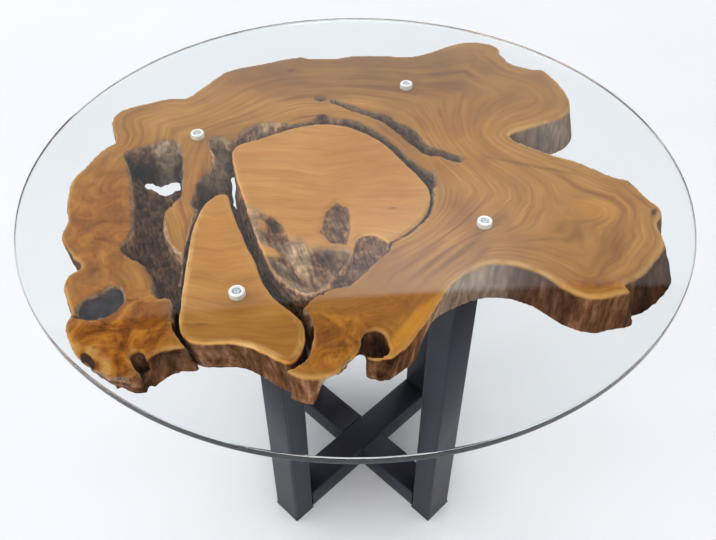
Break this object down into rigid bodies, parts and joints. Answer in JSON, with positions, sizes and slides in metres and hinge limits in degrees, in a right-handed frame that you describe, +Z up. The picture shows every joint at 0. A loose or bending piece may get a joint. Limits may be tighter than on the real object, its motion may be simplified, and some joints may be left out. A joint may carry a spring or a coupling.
{
  "type": "coffee table",
  "caption": "Low table with a round glass top on clear bumpers over a natural slice of root wood, on a crossed frame of black rectangular tube.",
  "frame": {"origin": "on the floor under the centre of the round glass top", "axes": "+Z up, +X to the right and +Y away from someone who faces the front of the table"},
  "size_m": [0.656, 0.656, 0.485],
  "materials": {
    "glass": "polished, clear with a green edge",
    "root_wood": "sanded top, natural bark in the hollows",
    "core_wood": "sanded top, worn and fibrous at the lower tip",
    "wedge_wood": "sanded top, pale sapwood along the edges",
    "clear_plastic": "clear, soft",
    "steel": "zinc plated",
    "black_steel": "satin black powder coat",
    "black_plastic": "matt black"
  },
  "bodies": {
    "table": {"root_slab": "root_wood", "core_piece": "core_wood", "wedge_piece": "wedge_wood", "bumper_back": "clear_plastic", "bumper_screw_back": "steel", "bumper_left": "clear_plastic", "bumper_screw_left": "steel", "bumper_right": "clear_plastic", "bumper_screw_right": "steel", "bumper_front": "clear_plastic", "bumper_screw_front": "steel", "leg_back_right": "black_steel", "foot_cap_back_right": "black_plastic", "leg_back_left": "black_steel", "foot_cap_back_left": "black_plastic", "leg_front_left": "black_steel", "foot_cap_front_left": "black_plastic", "leg_front_right": "black_steel", "foot_cap_front_right": "black_plastic", "bottom_rail_long": "black_steel", "bottom_rail_back_left": "black_steel", "bottom_rail_front_right": "black_steel", "top_rail_long": "black_steel", "top_rail_back_left": "black_steel", "top_rail_front_right": "black_steel", "frame_screw_back_right_near": "steel", "frame_screw_back_right_far": "steel", "frame_screw_back_left_near": "steel", "frame_screw_back_left_far": "steel", "frame_screw_front_left_near": "steel", "frame_screw_front_left_far": "steel", "frame_screw_front_right_near": "steel", "frame_screw_front_right_far": "steel", "strap_front": "steel", "strap_screw_front_1": "steel", "strap_screw_front_2": "steel", "strap_screw_front_3": "steel", "strap_screw_front_4": "steel", "strap_left": "steel", "strap_screw_left_1": "steel", "strap_screw_left_2": "steel", "strap_screw_left_3": "steel", "strap_screw_left_4": "steel", "strap_back": "steel", "strap_screw_back_1": "steel", "strap_screw_back_2": "steel", "strap_screw_back_3": "steel", "strap_screw_back_4": "steel"},
    "glass": {"glass_top": "glass"}
  },
  "joints": [
    {"name": "glass_lift", "type": "slide", "parent": "table", "child": "glass", "axis": [0, 0, 1], "range_m": [0, 0.15]}
  ]
}
